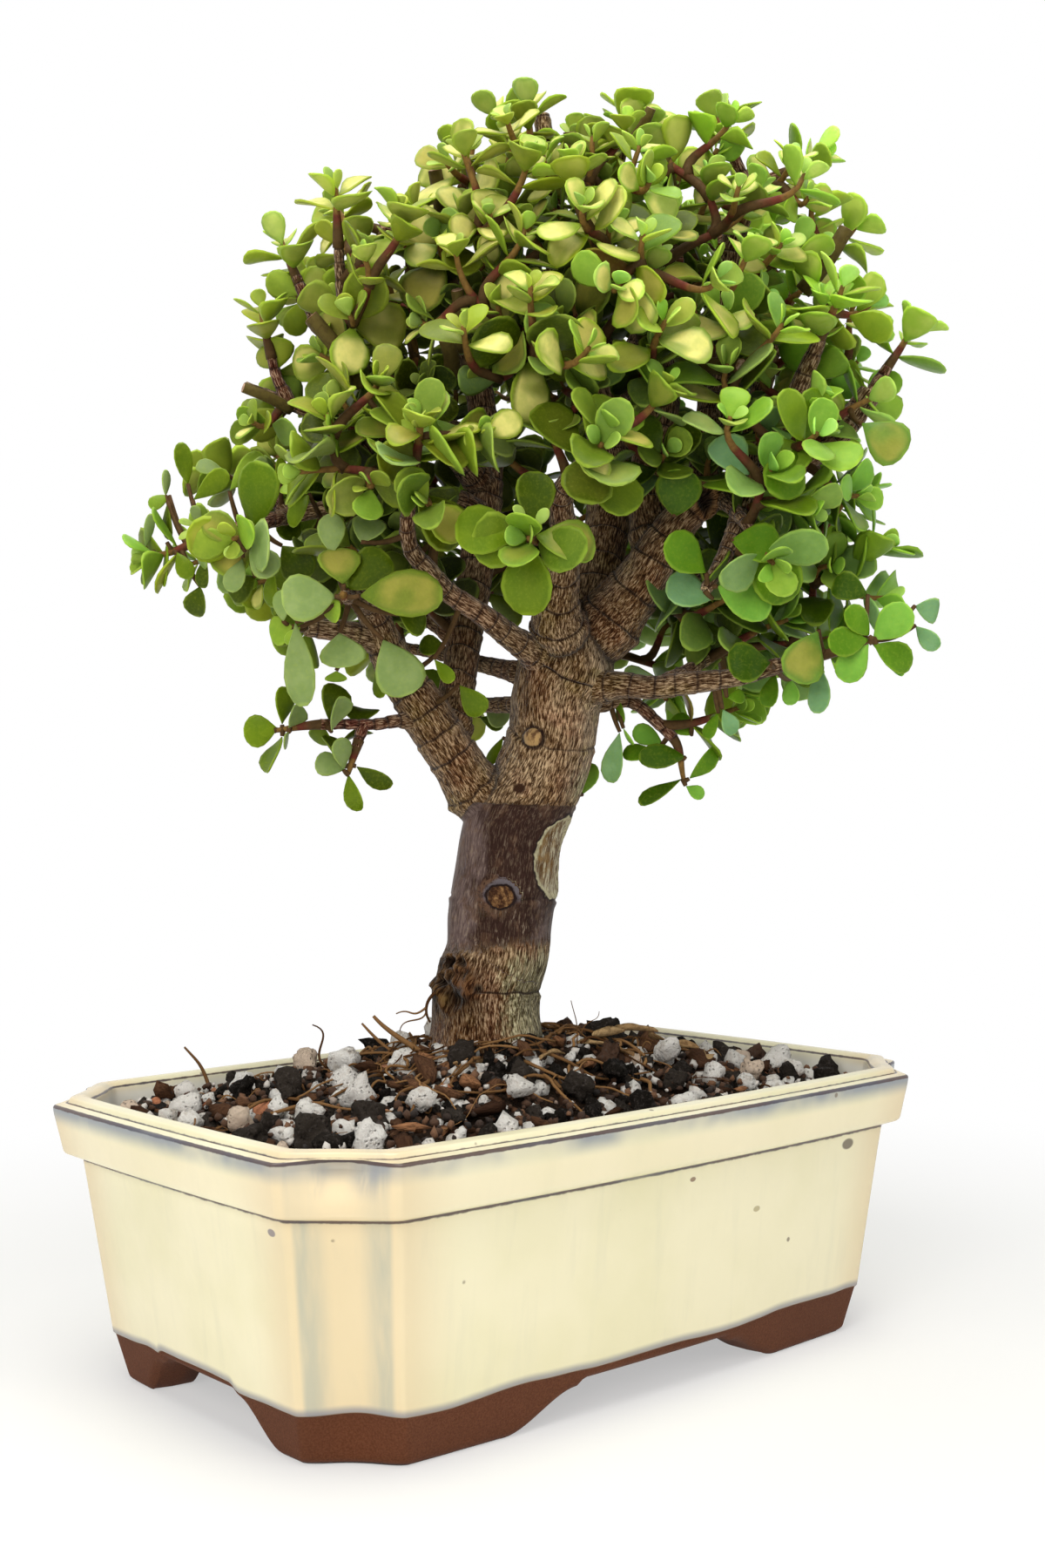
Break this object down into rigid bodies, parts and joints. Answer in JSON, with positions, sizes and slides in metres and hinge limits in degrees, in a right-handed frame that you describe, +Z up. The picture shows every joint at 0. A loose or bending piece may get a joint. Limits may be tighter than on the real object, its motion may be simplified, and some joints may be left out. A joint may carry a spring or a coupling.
{
  "type": "dwarf jade bonsai",
  "caption": "Potted house plant: a leaning ringed trunk with pruned limbs and crossed pairs of fleshy leaves, in gritty soil in a glazed rectangular pot on corner feet.",
  "frame": {"origin": "middle of the object's box, on the surface that the feet stand on; this is under the middle of the pot", "axes": "+Z up, +X along the pot's long side; the tree's front looks out over the pot's corner at -X, -Y"},
  "size_m": [0.2139, 0.1943, 0.348],
  "materials": {
    "glaze": "gloss",
    "screen": "matte",
    "soil": "matte",
    "bark": "matte",
    "leaf": "satin",
    "pumice": "matte",
    "lava": "matte",
    "bark_chip": "matte"
  },
  "bodies": {
    "root": {"bark_chip_1": "bark_chip", "bark_chip_2": "bark_chip", "drain_screen_left": "screen", "drain_screen_right": "screen", "lava_1": "lava", "lava_2": "lava", "lava_3": "lava", "pot": "glaze", "pumice_1": "pumice", "pumice_2": "pumice", "pumice_3": "pumice", "pumice_4": "pumice", "pumice_5": "pumice", "shoot_centre_right": "leaf", "shoot_crown_twig": "leaf", "shoot_far_left": "leaf", "shoot_far_upper_twig": "leaf", "shoot_front_fork": "leaf", "shoot_front_low": "leaf", "shoot_front_twig": "leaf", "shoot_hanging": "leaf", "shoot_high_front_twig": "leaf", "shoot_left_front_twig": "leaf", "shoot_left_high_twig": "leaf", "shoot_left_level": "leaf", "shoot_left_limb": "leaf", "shoot_low_left": "leaf", "shoot_low_left_drop": "leaf", "shoot_mid_front_twig": "leaf", "shoot_mid_up": "leaf", "shoot_rear_centre": "leaf", "shoot_rear_high": "leaf", "shoot_rear_left": "leaf", "shoot_rear_left_low": "leaf", "shoot_rear_left_top": "leaf", "shoot_rear_low": "leaf", "shoot_rear_mid": "leaf", "shoot_rear_right": "leaf", "shoot_rear_top": "leaf", "shoot_right_fold": "leaf", "shoot_right_front_twig": "leaf", "shoot_right_high": "leaf", "shoot_right_level": "leaf", "shoot_right_low_twig": "leaf", "shoot_right_mid": "leaf", "shoot_right_tip_twig": "leaf", "shoot_right_under_twig": "leaf", "shoot_short_lower": "leaf", "shoot_short_upper": "leaf", "shoot_top_left": "leaf", "shoot_top_left_twig": "leaf", "shoot_top_right_crown": "leaf", "shoot_top_right_twig": "leaf", "shoot_trunk_left": "leaf", "shoot_upper_front_twig": "leaf", "shoot_upper_left_twig": "leaf", "soil": "soil", "trunk": "bark"}
  },
  "joints": []
}
